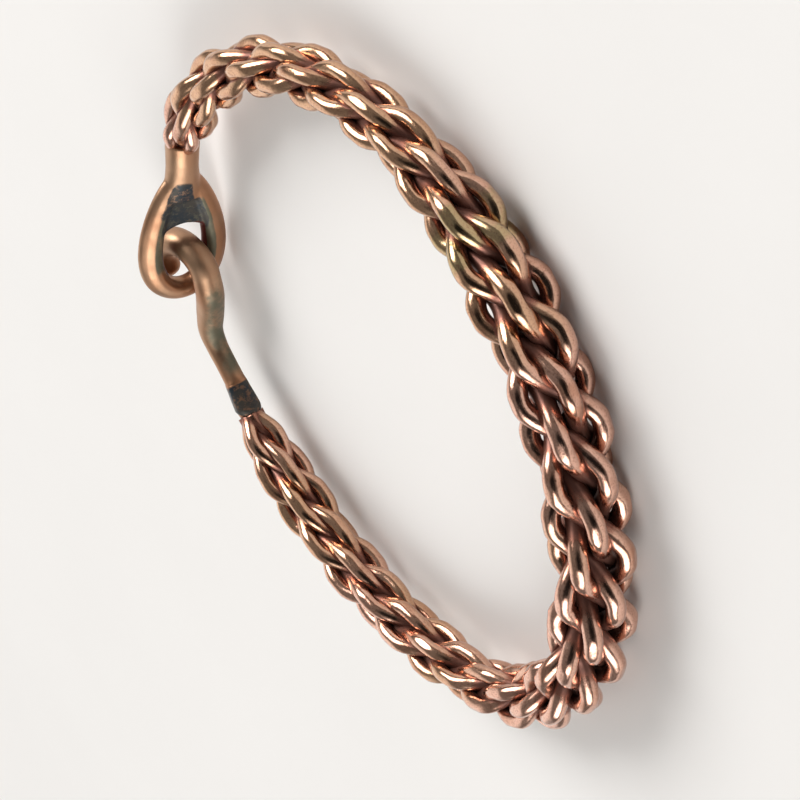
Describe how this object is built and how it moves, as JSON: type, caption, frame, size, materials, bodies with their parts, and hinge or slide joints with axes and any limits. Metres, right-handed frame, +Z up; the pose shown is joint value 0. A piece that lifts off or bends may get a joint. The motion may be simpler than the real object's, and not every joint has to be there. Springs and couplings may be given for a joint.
{
  "type": "braided bracelet",
  "caption": "Round braided bracelet of thick interlaced metal wires that taper to both ends, closed by a cast hook that catches in a teardrop eye.",
  "frame": {"origin": "centre of the bounding box, at its lowest level, where the bracelet lies on a surface", "axes": "+Z up through the wrist opening; +X along the long way across the bracelet; +Y towards the hook's side of the short way across"},
  "size_m": [0.0773, 0.0667, 0.0102],
  "materials": {
    "wire": "polished rose bronze wire with dark patina in its recesses",
    "clasp": "satin cast bronze with grey-green and blue-black tarnish"
  },
  "bodies": {
    "root": {"strand_1": "wire", "strand_2": "wire", "strand_3": "wire", "strand_4": "wire", "strand_5": "wire", "strand_6": "wire", "strand_7": "wire", "strand_8": "wire", "eye_terminal": "clasp", "hook_terminal": "clasp"}
  },
  "joints": []
}
